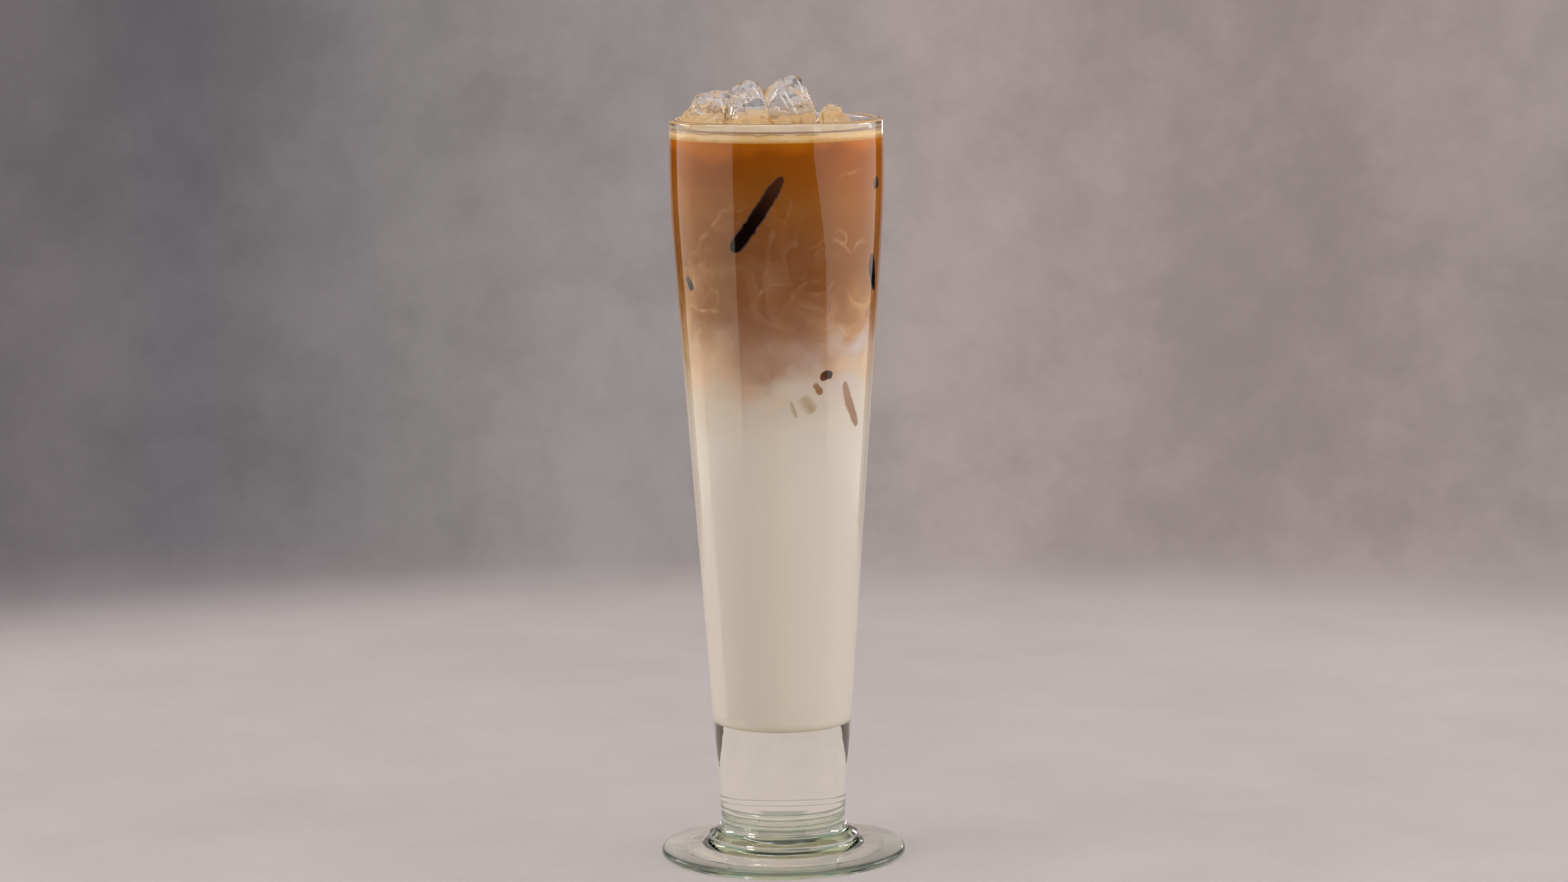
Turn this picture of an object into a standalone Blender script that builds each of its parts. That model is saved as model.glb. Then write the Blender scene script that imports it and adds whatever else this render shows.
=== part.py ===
"""Iced latte in a tall footed glass.

A Blender 4.5 script. It models the glass in one turned solid, the milk, the mixed layer, the coffee
and the foam that fill it, and the ice that stands out of the drink. Metres, +Z up, with the origin at
the middle of the foot's underside. The drink keeps a small gap to the glass and to the ice.
"""

import math

import bmesh
import bpy

MM = 0.001

# The glass, its heights taken from the table
RIM_HEIGHT = 240.0 * MM
WIDEST_HEIGHT = 226.8 * MM
EASE_HEIGHT = 199.6 * MM
STEM_HEIGHT = 17.9 * MM
STEM_RADIUS = 20.6 * MM
CONE_SLOPE = 0.0704
FLOOR_HEIGHT = 43.8 * MM
FLOOR_CORNER = 4.5 * MM
WALL_AT_FLOOR = 2.9 * MM
WALL_AT_RIM = 2.2 * MM

# Three shallow grooves round the stem, above the flare
GROOVE_HEIGHTS = (16.7 * MM, 14.9 * MM, 13.1 * MM)
GROOVE_HALF_WIDTH = 0.6 * MM
GROOVE_DEPTH = 0.35 * MM

# The foot
FLARE_TOP = 12.4 * MM
FLARE_RADIUS = 5.5 * MM
FLARE_END_DEG = 245.0
COLLAR_HEIGHT = 7.0 * MM
COLLAR_RADIUS = 24.1 * MM
FILLET_RADIUS = 3.0 * MM
FOOT_RADIUS = 39.8 * MM
FOOT_EDGE_RADIUS = 1.45 * MM
REST_RING_INNER = 33.0 * MM
UNDERSIDE_RISE = 2.2 * MM

# The drink
GAP = 0.3 * MM
FOAM_BASE = 233.9 * MM
FOAM_LEVEL = 237.2 * MM
COFFEE_BASE = 177.0 * MM
MILK_LEVEL = 155.0 * MM

# The milk line climbs to the right by this slope, and the coffee's floor by half as much. Both sway as
# two liquids do that were poured together, and stay within the spread of their middle heights.
LAYER_LIFT = 0.22
LAYER_SWAY = 2.6 * MM
LAYER_SPREAD = 12.0 * MM
WAVE_X = 7.5 * MM
WAVE_Y = 10.0 * MM
MILK_PHASE = 0.8
COFFEE_PHASE = 2.1
FOAM_HEAP = 0.7 * MM

# Ice, in millimetres. Each piece is the hull of its ridge, of a belt of corners just under the rim and
# of a root, which is the belt drawn in and let down into the coffee.
BELT_HEIGHT = 238.5
ROOT_SHRINK = 0.78
ICE_EDGE_CREASE = 0.55
ICE_CLEARANCE = 1.06
ICE = {
    "ice_left": {
        "ridge": ((-25.0, -5, 247.4), (-23.5, 4, 246.8), (-15.0, -8, 248.0), (-14.8, 3, 248.6)),
        "belt": ((-31.0, -3), (-26.5, -14), (-16.5, -16), (-14.4, -9), (-14.4, 6), (-20, 11), (-28.5, 7)),
        "root_height": 221.0,
    },
    "ice_front": {
        "ridge": ((-13.4, -5, 248.8), (-11.2, -6, 251.0), (-8.4, -3, 252.4), (-6.2, -5, 251.4)),
        "belt": ((-13.3, -14), (-9, -18), (-3, -15), (-0.8, -8), (-1.6, 0.4), (-13.3, 0.4)),
        "root_height": 224.0,
    },
    "ice_peak": {
        "ridge": ((5.4, 8, 253.7), (7.6, 7, 253.2), (-1.2, 8, 248.9), (2.6, 12, 251.8), (11.2, 9, 246.2)),
        "belt": ((-4.5, 4), (-2.5, 1.8), (8, 1.8), (12.4, 5), (12.2, 13), (6, 20), (-3.5, 16)),
        "root_height": 220.0,
    },
    "ice_right": {
        "ridge": ((15.2, -3, 243.9), (17, 1, 244.4), (20.2, -2, 243.5)),
        "belt": ((13.4, -6), (14.6, -11), (20, -10.5), (24.0, -3), (23, 5), (15.5, 8), (13.4, 4)),
        "root_height": 223.0,
    },
}

STEPS = 48
EASE_STEPS = 5
ARC_STEPS = 5
LAYER_CELLS = 16


def clear_scene():
    for old in list(bpy.data.objects):
        bpy.data.objects.remove(old, do_unlink=True)


def add_collection(name):
    collection = bpy.data.collections.new(name)
    bpy.context.scene.collection.children.link(collection)
    return collection


def make_material(name, colour, roughness, transmission=0.0, ior=1.45):
    material = bpy.data.materials.new(name)
    material.use_nodes = True
    shader = material.node_tree.nodes["Principled BSDF"]
    shader.inputs["Base Color"].default_value = (*colour, 1.0)
    shader.inputs["Roughness"].default_value = roughness
    shader.inputs["Metallic"].default_value = 0.0
    shader.inputs["Transmission Weight"].default_value = transmission
    shader.inputs["IOR"].default_value = ior
    return material


def add_object(name, mesh, collection, material=None):
    thing = bpy.data.objects.new(name, mesh)
    collection.objects.link(thing)
    if material:
        mesh.materials.append(material)
    return thing


def outer_radius(z):
    """Outside of the glass: a straight cone that eases to upright near the rim."""
    if z <= EASE_HEIGHT:
        return STEM_RADIUS + CONE_SLOPE * (z - STEM_HEIGHT)
    ease = WIDEST_HEIGHT - EASE_HEIGHT
    widest = outer_radius(EASE_HEIGHT) + CONE_SLOPE * ease / 2
    return widest - CONE_SLOPE * (WIDEST_HEIGHT - z) ** 2 / (2 * ease)


def inner_radius(z):
    """Inside of the glass, whose wall thins evenly from the floor to the rim."""
    rise = (z - FLOOR_HEIGHT) / (RIM_HEIGHT - FLOOR_HEIGHT)
    return outer_radius(z) - WALL_AT_FLOOR - (WALL_AT_RIM - WALL_AT_FLOOR) * rise


def arc(centre, radius, start_deg, end_deg, steps=ARC_STEPS):
    """Points of an arc in the profile's plane, as (radius from the axis, height)."""
    points = []
    for i in range(steps + 1):
        angle = math.radians(start_deg + (end_deg - start_deg) * i / steps)
        points.append((centre[0] + radius * math.cos(angle), centre[1] + radius * math.sin(angle)))
    return points


def ease_heights(top):
    """Heights that follow the eased part of the wall, from where the cone ends up to the top."""
    return [EASE_HEIGHT + (top - EASE_HEIGHT) * i / EASE_STEPS for i in range(EASE_STEPS + 1)]


def floor_corner(inset):
    """The rounded corner between the floor and the wall, drawn in by the inset."""
    corner_height = FLOOR_HEIGHT + FLOOR_CORNER
    centre = (inner_radius(corner_height) - FLOOR_CORNER, corner_height)
    return arc(centre, FLOOR_CORNER - inset, -90, 0)


def lathe(name, profile, collection, material=None):
    """A solid turned round the Z axis. The profile runs down its outer side."""
    mesh = bpy.data.meshes.new(name)
    points = [(radius, 0.0, height) for radius, height in profile]
    mesh.from_pydata(points, [(i, i + 1) for i in range(len(points) - 1)], [])
    thing = add_object(name, mesh, collection, material)
    screw = thing.modifiers.new("turn", "SCREW")
    screw.axis = "Z"
    screw.angle = math.tau
    screw.steps = STEPS
    screw.render_steps = STEPS
    screw.use_merge_vertices = True
    screw.merge_threshold = 0.00001
    screw.use_smooth_shade = True
    return thing


def glass_profile():
    bead = WALL_AT_RIM / 2
    bead_height = RIM_HEIGHT - bead
    profile = [(0.0, FLOOR_HEIGHT)] + floor_corner(0.0)
    profile += [(inner_radius(z), z) for z in ease_heights(bead_height)]
    profile += arc((outer_radius(bead_height) - bead, bead_height), bead, 150, 30, 4)
    profile += [(outer_radius(z), z) for z in reversed(ease_heights(bead_height))]
    for height in GROOVE_HEIGHTS:
        for offset, depth in ((GROOVE_HALF_WIDTH, 0.0), (0.0, GROOVE_DEPTH), (-GROOVE_HALF_WIDTH, 0.0)):
            profile.append((outer_radius(height + offset) - depth, height + offset))
    flare_centre = (outer_radius(FLARE_TOP) + FLARE_RADIUS, FLARE_TOP)
    profile += arc(flare_centre, FLARE_RADIUS, 180, FLARE_END_DEG)[1:]
    profile.append((COLLAR_RADIUS, COLLAR_HEIGHT))
    profile += arc((COLLAR_RADIUS + FILLET_RADIUS, COLLAR_HEIGHT), FILLET_RADIUS, 195, 270, 4)
    edge_centre = (FOOT_RADIUS - FOOT_EDGE_RADIUS, FOOT_EDGE_RADIUS)
    profile += arc(edge_centre, FOOT_EDGE_RADIUS, 80, -90, 6)
    for share in (1.0, 0.75, 0.4, 0.0):
        profile.append((REST_RING_INNER * share, UNDERSIDE_RISE * (1 - share * share)))
    return profile


def column_profile(bottom, top):
    """The inside of the glass between two heights, drawn in by the gap and run down its outer side."""
    heights = [z for z in reversed(ease_heights(RIM_HEIGHT)) if bottom < z < top]
    profile = [(0.0, top)]
    profile += [(inner_radius(z) - GAP, z) for z in [top] + heights]
    if bottom <= FLOOR_HEIGHT:
        profile += list(reversed(floor_corner(GAP)))
        profile.append((0.0, FLOOR_HEIGHT + GAP))
    else:
        profile += [(inner_radius(bottom) - GAP, bottom), (0.0, bottom)]
    return profile


def sway(x, y, phase):
    """A slow unevenness from -1 to 1."""
    return math.sin(x / WAVE_X + phase) * math.cos(y / WAVE_Y + phase)


def milk_top(x, y):
    """The milk's uneven upper surface, lower at the left and higher at the right."""
    return MILK_LEVEL + LAYER_LIFT * x + LAYER_SWAY * sway(x, y, MILK_PHASE)


def coffee_floor(x, y):
    """Where the clear coffee ends, above the layer in which it mixes with the milk."""
    return COFFEE_BASE + 0.5 * LAYER_LIFT * x + LAYER_SWAY * sway(x, y, COFFEE_PHASE)


def foam_top(x, y):
    """The foam's top, level at the wall and gently heaped inside."""
    inside = 1 - (x * x + y * y) / inner_radius(FOAM_LEVEL) ** 2
    return FOAM_LEVEL + FOAM_HEAP * inside * sway(x, y, COFFEE_PHASE)


def level_block(name, surface, offset, far_height, collection):
    """A block that takes away all between the uneven surface and a far level height."""
    reach = outer_radius(WIDEST_HEIGHT) * 1.2
    shape = bmesh.new()
    bmesh.ops.create_grid(shape, x_segments=LAYER_CELLS, y_segments=LAYER_CELLS, size=reach)
    bmesh.ops.triangulate(shape, faces=list(shape.faces), quad_method="FIXED")
    grown = bmesh.ops.extrude_face_region(shape, geom=list(shape.faces), use_keep_orig=True)
    far_side = {v for v in grown["geom"] if isinstance(v, bmesh.types.BMVert)}
    for vertex in shape.verts:
        near_height = surface(vertex.co.x, vertex.co.y) + offset
        vertex.co.z = far_height if vertex in far_side else near_height
    bmesh.ops.recalc_face_normals(shape, faces=list(shape.faces))
    mesh = bpy.data.meshes.new(name)
    shape.to_mesh(mesh)
    shape.free()
    block = add_object(name, mesh, collection)
    block.hide_render = True
    block.display_type = "WIRE"
    return block


def cut_with(thing, cutters):
    for cutter in cutters:
        cut = thing.modifiers.new("cut by " + cutter.name, "BOOLEAN")
        cut.operation = "DIFFERENCE"
        cut.solver = "EXACT"
        cut.object = cutter


def ice_piece(name, ridge, belt, root_height, collection, material=None, grow=1.0):
    """A broken, slightly melted piece of ice, as the softened hull of its corners."""
    middle_x = sum(x for x, y in belt) / len(belt)
    middle_y = sum(y for x, y in belt) / len(belt)
    corners = list(ridge)
    for x, y in belt:
        corners.append((x, y, BELT_HEIGHT))
        root_x = middle_x + (x - middle_x) * ROOT_SHRINK
        root_y = middle_y + (y - middle_y) * ROOT_SHRINK
        corners.append((root_x, root_y, root_height))
    middle_z = (ridge[0][2] + root_height) / 2
    shape = bmesh.new()
    for x, y, z in corners:
        shape.verts.new(((x - middle_x) * grow * MM, (y - middle_y) * grow * MM, (z - middle_z) * grow * MM))
    hull = bmesh.ops.convex_hull(shape, input=list(shape.verts))
    bmesh.ops.delete(shape, geom=list(set(hull["geom_interior"])), context="VERTS")
    bmesh.ops.dissolve_limit(shape, angle_limit=math.radians(1), verts=shape.verts, edges=shape.edges)
    crease = shape.edges.layers.float.new("crease_edge")
    for edge in shape.edges:
        edge[crease] = ICE_EDGE_CREASE
    bmesh.ops.recalc_face_normals(shape, faces=list(shape.faces))
    mesh = bpy.data.meshes.new(name)
    shape.to_mesh(mesh)
    shape.free()
    piece = add_object(name, mesh, collection, material)
    piece.location = (middle_x * MM, middle_y * MM, middle_z * MM)
    soften = piece.modifiers.new("melted edges", "SUBSURF")
    soften.levels = 1
    soften.render_levels = 1
    return piece


def build_glass(parts):
    clear_glass = make_material("clear_glass", (0.93, 0.97, 0.95), 0.02, 1.0, 1.5)
    lathe("glass", glass_profile(), parts, clear_glass)


def build_ice(parts, cutters):
    """The ice that stands out of the drink, and the larger copies that make room for it."""
    clear_ice = make_material("clear_ice", (0.90, 0.92, 0.93), 0.05, 1.0, 1.31)
    rooms = []
    for name, form in ICE.items():
        ice_piece(name, **form, collection=parts, material=clear_ice)
        room = ice_piece("room_for_" + name, **form, collection=cutters, grow=ICE_CLEARANCE)
        room.hide_render = True
        room.display_type = "WIRE"
        rooms.append(room)
    return rooms


def build_drink(parts, cutters, ice_rooms):
    half_gap = GAP / 2
    above_milk = level_block("above_milk", milk_top, -half_gap, RIM_HEIGHT, cutters)
    below_mixed = level_block("below_mixed", milk_top, half_gap, FLOOR_HEIGHT, cutters)
    above_mixed = level_block("above_mixed", coffee_floor, -half_gap, RIM_HEIGHT, cutters)
    below_coffee = level_block("below_coffee", coffee_floor, half_gap, FLOOR_HEIGHT, cutters)
    above_foam = level_block("above_foam", foam_top, 0.0, RIM_HEIGHT + LAYER_SPREAD, cutters)

    milk_colour = make_material("milk", (0.68, 0.58, 0.46), 0.35)
    milk = lathe("milk", column_profile(FLOOR_HEIGHT, MILK_LEVEL + LAYER_SPREAD), parts, milk_colour)
    cut_with(milk, [above_milk])

    mixed_colour = make_material("mixed_layer", (0.36, 0.20, 0.11), 0.35)
    mixed_profile = column_profile(MILK_LEVEL - LAYER_SPREAD, COFFEE_BASE + LAYER_SPREAD)
    mixed = lathe("mixed_layer", mixed_profile, parts, mixed_colour)
    cut_with(mixed, [below_mixed, above_mixed])

    coffee_colour = make_material("coffee", (0.22, 0.065, 0.012), 0.3)
    coffee_profile = column_profile(COFFEE_BASE - LAYER_SPREAD, FOAM_BASE)
    coffee = lathe("coffee", coffee_profile, parts, coffee_colour)
    cut_with(coffee, [below_coffee] + ice_rooms)

    foam_colour = make_material("foam", (0.75, 0.52, 0.28), 0.6)
    foam_profile = column_profile(FOAM_BASE + GAP, RIM_HEIGHT - WALL_AT_RIM / 2)
    foam = lathe("foam", foam_profile, parts, foam_colour)
    cut_with(foam, [above_foam] + ice_rooms)


def main():
    clear_scene()
    parts = add_collection("iced_latte")
    cutters = add_collection("cutters")
    build_glass(parts)
    ice_rooms = build_ice(parts, cutters)
    build_drink(parts, cutters, ice_rooms)


main()
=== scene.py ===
"""Iced latte in a tall footed glass: the finish of every surface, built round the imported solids.

Lengths are metres, so sizes in millimetres stand times MM, and tables in plain millimetres say so. Angles
round the glass start at its front, where the drink was pictured from, and grow towards the right.
"""

import math

import bmesh
import bpy
from mathutils import Euler, Matrix, Vector, noise


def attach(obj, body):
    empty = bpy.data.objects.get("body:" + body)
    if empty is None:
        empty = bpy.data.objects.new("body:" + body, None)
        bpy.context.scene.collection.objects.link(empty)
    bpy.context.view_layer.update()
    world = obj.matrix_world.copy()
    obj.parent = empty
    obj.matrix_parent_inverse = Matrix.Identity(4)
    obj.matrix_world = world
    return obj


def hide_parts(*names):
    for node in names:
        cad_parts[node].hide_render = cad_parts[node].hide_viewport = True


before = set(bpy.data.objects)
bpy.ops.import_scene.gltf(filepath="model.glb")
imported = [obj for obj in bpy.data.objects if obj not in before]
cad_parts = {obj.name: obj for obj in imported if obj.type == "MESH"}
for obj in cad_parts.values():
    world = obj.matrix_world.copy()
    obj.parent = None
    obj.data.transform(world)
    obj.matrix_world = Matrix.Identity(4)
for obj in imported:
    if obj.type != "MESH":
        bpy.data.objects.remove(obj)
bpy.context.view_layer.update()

# The vector noise that warps ice, milk and wisps is drawn from this seed, the same in each run
noise.seed_set(11)

MM = 0.001

# The form of the glass and the drink, as in the solids but for the grooves, which are finer and fade
# towards the back to a share of their depth
RIM_HEIGHT = 240.0 * MM
WIDEST_HEIGHT = 226.8 * MM
EASE_HEIGHT = 199.6 * MM
STEM_HEIGHT = 17.9 * MM
STEM_RADIUS = 20.6 * MM
CONE_SLOPE = 0.0704
FLOOR_HEIGHT = 43.8 * MM
FLOOR_CORNER = 4.5 * MM
WALL_AT_FLOOR = 2.9 * MM
WALL_AT_RIM = 2.2 * MM
GROOVE_HEIGHTS = (16.7 * MM, 14.9 * MM, 13.1 * MM)
GROOVE_HALF_WIDTH = 0.45 * MM
GROOVE_DEPTH = 0.11 * MM
GROOVE_AT_BACK = 0.4
FLARE_TOP = 12.4 * MM
FLARE_RADIUS = 5.5 * MM
FLARE_END_DEG = 245.0
COLLAR_HEIGHT = 7.0 * MM
COLLAR_RADIUS = 24.1 * MM
FILLET_RADIUS = 3.0 * MM
FOOT_RADIUS = 39.8 * MM
FOOT_EDGE_RADIUS = 1.45 * MM
REST_RING_INNER = 33.0 * MM
UNDERSIDE_RISE = 2.2 * MM
FOAM_BASE = 233.9 * MM
FOAM_LEVEL = 237.2 * MM
COFFEE_BASE = 177.0 * MM
MILK_LEVEL = 155.0 * MM
LAYER_LIFT = 0.22
LAYER_SWAY = 2.6 * MM
WAVE_X = 7.5 * MM
WAVE_Y = 10.0 * MM
MILK_PHASE = 0.8
COFFEE_PHASE = 2.1
FOAM_HEAP = 0.7 * MM

# Waviness of pressed glass, in the wall near the stem and on top of the foot
GLASS_SWELL = 0.05 * MM
FOOT_WAVE = 0.09 * MM

# The drink reaches this far into the glass, so that no air gap shows
DRINK_REACH = 0.25 * MM

# Ice, in millimetres, with its corners near those of the solids, and how melting wears it
BELT_HEIGHT = 238.5
ROOT_SHRINK = 0.78
ICE_CELL = 0.4
ICE_HOLLOW = 1.35
ICE_PIT = 0.28
ICE_SWELL = 0.75
ICE = {
    "ice_left": {
        "ridge": ((-25.0, -5, 247.4), (-23.5, 4, 246.8), (-14.6, -8, 248.6), (-14.4, 3, 249.2)),
        "belt": ((-31.0, -3), (-26.5, -14), (-16.5, -16), (-14.2, -9), (-14.2, 6), (-20, 11), (-28.5, 7)),
        "root_height": 221.0,
    },
    "ice_front": {
        "ridge": ((-13.7, -5, 249.4), (-11.2, -6, 251.0), (-8.4, -3, 252.4), (-6.2, -5, 251.4)),
        "belt": ((-13.6, -14), (-9, -18), (-3, -15), (-0.8, -8), (-1.6, 0.4), (-13.6, 0.4)),
        "root_height": 224.0,
    },
    "ice_peak": {
        "ridge": (
            (5.4, 8, 252.8), (7.6, 7, 252.3), (-3.9, 6, 247.4),
            (-0.6, 8, 250.0), (2.6, 12, 251.8), (11.2, 9, 246.2),
        ),
        "belt": ((-4.5, 4), (-2.5, 1.8), (8, 1.8), (12.4, 5), (12.2, 13), (6, 20), (-3.5, 16)),
        "root_height": 220.0,
    },
    "ice_right": {
        "ridge": ((15.2, -3, 243.9), (17, 1, 244.4), (20.2, -2, 243.5)),
        "belt": ((13.4, -6), (14.6, -11), (20, -10.5), (24.0, -3), (23, 5), (15.5, 8), (13.4, 4)),
        "root_height": 223.0,
    },
}

# White cracks in the ice, which also stand in for its white highlights, in millimetres: the half width, and
# the way along each
ICE_CRACKS_AND_HIGHLIGHTS = (
    (0.55, ((2.6, 3.2, 248.6), (4.4, 2.8, 245.5), (5.6, 2.9, 243.0), (7.2, 3.0, 240.8))),
    (0.30, ((1.2, 3.4, 247.4), (3.0, 2.9, 244.6), (4.0, 2.8, 242.4))),
    (0.25, ((9.6, 3.4, 249.8), (10.4, 3.6, 246.4), (12.0, 5.4, 243.8))),
    (0.35, ((-17.6, -9.0, 246.6), (-16.9, -10.4, 244.4), (-16.4, -11.6, 242.2))),
    (0.25, ((-26.4, -6.0, 245.0), (-25.0, -9.0, 242.6), (-22.0, -11.0, 242.0))),
    (0.25, ((-7.6, -4.0, 250.4), (-5.4, -7.5, 247.6), (-3.0, -9.0, 244.4))),
    (0.45, ((0.6, 4.6, 249.2), (-0.4, 4.4, 247.0), (-1.8, 4.0, 245.2))),
    (0.30, ((6.8, 4.6, 252.0), (8.2, 4.6, 249.4), (8.8, 4.4, 247.2))),
    (0.30, ((-22.0, -7.0, 246.6), (-19.0, -8.4, 246.2), (-16.6, -8.6, 246.8))),
    (0.28, ((-11.8, -8.4, 248.6), (-10.0, -9.2, 247.2), (-9.2, -10.4, 245.0))),
)

# Where milk gives way to coffee at the wall: the angle in degrees, the height in millimetres at which the
# quick part of the change ends, and how many millimetres it takes
MILK_LINE = (
    (-90, 152, 16),
    (-64, 151, 20),
    (-48, 151, 18),
    (-27, 150, 13),
    (-17, 151, 10),
    (-9, 152.5, 8),
    (0, 155, 7),
    (10, 156, 8),
    (25, 155, 10),
    (36, 153, 13),
    (46, 152, 20),
    (60, 153, 24),
    (90, 154, 16),
    (135, 156, 12),
    (180, 152, 10),
    (225, 155, 12),
)

# Above that line a haze of milk thins out, more of it at the sides, and below it a tail of coffee does
HAZE_TOP = 179.0
HAZE_FOOT = 163.0
HAZE_AT_FRONT = 0.06
HAZE_AT_SIDES = 0.26
TAIL_TOP = 155.0
TAIL_FOOT = 136.0
TAIL_SHARE = 0.22

# Patches of another tint at the wall: the place in degrees and millimetres, its half width and half height
# in millimetres, and the tint, from -1 for lilac to 1 for orange
TINT_PATCHES = (
    (52, 171.0, 11.0, 6.0, -1.4),
    (48, 156.0, 8.0, 3.5, -1.2),
    (66, 162.0, 5.0, 6.0, 0.9),
    (44, 163.5, 4.0, 3.0, 0.8),
    (-1, 152.5, 3.6, 1.6, 0.8),
    (-21, 156.0, 5.0, 4.0, 0.6),
    (-46, 166.0, 7.0, 7.0, 0.7),
    (-60, 158.0, 6.0, 6.0, 0.8),
    (2, 170.0, 9.0, 6.0, -0.7),
    (-9, 177.0, 6.0, 4.0, -0.5),
    (18, 165.0, 6.0, 3.0, -0.6),
    (150, 165.0, 10.0, 6.0, 0.7),
    (210, 168.0, 10.0, 6.0, -0.7),
)

# Threads of milk that hang in the coffee at the front: strength, half width in millimetres, and points
# as degrees and millimetres
THREADS = (
    (0.85, 0.45, ((-67, 182.6), (-62, 180.9), (-54, 180.4), (-45, 181.2), (-35, 179.9))),
    (0.40, 0.60, ((-60, 198.8), (-52, 199.6), (-47, 203.8), (-36, 209), (-31, 213.1), (-22, 214.6))),
    (0.35, 0.35, ((-24, 213.2), (-17, 213.8), (-11, 215.0))),
    (0.60, 0.50, ((-14, 184.5), (-6, 188.2), (0.3, 189.4), (11.5, 190.1))),
    (0.35, 0.60, ((-9, 190.0), (-6, 197.5), (-2, 207.0))),
    (0.65, 0.55, ((20, 185.5), (25, 186.0), (30, 187.2), (34.6, 189.4))),
    (0.60, 0.55, ((32, 203.1), (36, 202.6), (39.7, 201.4), (46.7, 198.2), (51.4, 200.9), (59.4, 202.9))),
    (0.40, 0.45, ((33, 198.0), (38, 199.0), (42, 203.6), (36, 205.5), (31, 203.8))),
    (0.40, 0.40, ((34.8, 221.8), (42, 223.6), (53.4, 224.8))),
    (0.45, 0.90, ((-56, 193.5), (-50, 194.0), (-45.9, 195.5))),
    (0.35, 0.35, ((4, 208.0), (7, 213.5), (9, 216.5))),
    (0.30, 0.50, ((2, 180.0), (8, 186.0), (19, 190.0), (27, 190.5))),
)

# Ice wholly sunk in the drink, where it lies against the wall: how it looks, and the way along it as
# degrees, millimetres of height and millimetres of half width
SUNK_ICE = {
    "sunk_ice_bar": (
        "deep",
        ((3.4, 223.6, 1.1), (-1.5, 219.4, 2.2), (-8.1, 213.5, 2.5), (-16.6, 206.6, 2.6), (-26.4, 199.8, 2.6)),
    ),
    "sunk_ice_right": ("brown", ((68.0, 221.6, 1.5), (69.5, 220.0, 2.6), (70.5, 218.0, 2.0))),
    "sunk_ice_sliver": ("deep", ((67.0, 197.6, 1.2), (69.5, 192.4, 2.6), (74.5, 185.2, 1.0))),
    "sunk_ice_left": ("deep", ((-64.5, 190.8, 0.9), (-61.5, 188.8, 1.7), (-59.0, 186.6, 1.1))),
    "sunk_ice_shard": ("brown", ((27.4, 158.6, 0.9), (31.0, 160.2, 1.8), (35.6, 159.8, 1.1))),
    "sunk_ice_chip": ("tan", ((23.0, 157.6, 0.9), (25.5, 155.9, 1.4), (28.0, 154.0, 0.9))),
    "sunk_ice_stick": (
        "tan",
        ((45.6, 157.6, 1.2), (49.4, 152.0, 2.0), (54.5, 147.4, 2.1), (60.6, 142.4, 1.6)),
    ),
    "sunk_ice_pale": ("olive", ((15.5, 153.6, 2.3), (19.0, 151.0, 3.2), (23.0, 148.4, 2.4))),
    "sunk_ice_streak": ("olive", ((7.6, 152.4, 0.7), (9.5, 149.6, 1.0), (11.6, 146.9, 0.6))),
}

GLASS_STEPS = 192
FRONT_COLUMNS = 260
BACK_COLUMNS = 110
SUNK_ICE_STEPS = 14


# Shapes

def outer_radius(z):
    """Outside of the glass: a straight cone that eases to upright near the rim."""
    if z <= EASE_HEIGHT:
        return STEM_RADIUS + CONE_SLOPE * (z - STEM_HEIGHT)
    ease = WIDEST_HEIGHT - EASE_HEIGHT
    widest = outer_radius(EASE_HEIGHT) + CONE_SLOPE * ease / 2
    return widest - CONE_SLOPE * (WIDEST_HEIGHT - z) ** 2 / (2 * ease)


def inner_radius(z):
    """Inside of the glass, whose wall thins evenly from the floor to the rim."""
    rise = (z - FLOOR_HEIGHT) / (RIM_HEIGHT - FLOOR_HEIGHT)
    return outer_radius(z) - WALL_AT_FLOOR - (WALL_AT_RIM - WALL_AT_FLOOR) * rise


def drink_radius(z):
    """Outside of the drink, which reaches just into the wall and follows the floor's rounded corner."""
    corner_height = FLOOR_HEIGHT + FLOOR_CORNER
    if z >= corner_height:
        return inner_radius(z) + DRINK_REACH
    corner = FLOOR_CORNER + DRINK_REACH
    drop = min(corner_height - z, corner)
    return inner_radius(corner_height) - FLOOR_CORNER + math.sqrt(corner**2 - drop**2)


def sway(x, y, phase):
    """A slow unevenness from -1 to 1."""
    return math.sin(x / WAVE_X + phase) * math.cos(y / WAVE_Y + phase)


def glass_floor(x, y):
    return FLOOR_HEIGHT - DRINK_REACH


def milk_top(x, y):
    return MILK_LEVEL + LAYER_LIFT * x + LAYER_SWAY * sway(x, y, MILK_PHASE)


def coffee_floor(x, y):
    return COFFEE_BASE + 0.5 * LAYER_LIFT * x + LAYER_SWAY * sway(x, y, COFFEE_PHASE)


def foam_floor(x, y):
    return FOAM_BASE


def foam_top(x, y):
    """The foam's top, level at the wall and gently heaped inside."""
    inside = 1 - (x * x + y * y) / inner_radius(FOAM_LEVEL) ** 2
    return FOAM_LEVEL + FOAM_HEAP * inside * sway(x, y, COFFEE_PHASE)


def smoothstep(start, end, value):
    """A smooth rise from 0 at the start to 1 at the end, which may lie either way round."""
    share = min(max((value - start) / (end - start), 0.0), 1.0)
    return share * share * (3 - 2 * share)


def arc(centre, radius, start_deg, end_deg, steps):
    """Points of an arc in the profile's plane, as (radius from the axis, height)."""
    points = []
    for i in range(steps + 1):
        angle = math.radians(start_deg + (end_deg - start_deg) * i / steps)
        points.append((centre[0] + radius * math.cos(angle), centre[1] + radius * math.sin(angle)))
    return points


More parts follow.
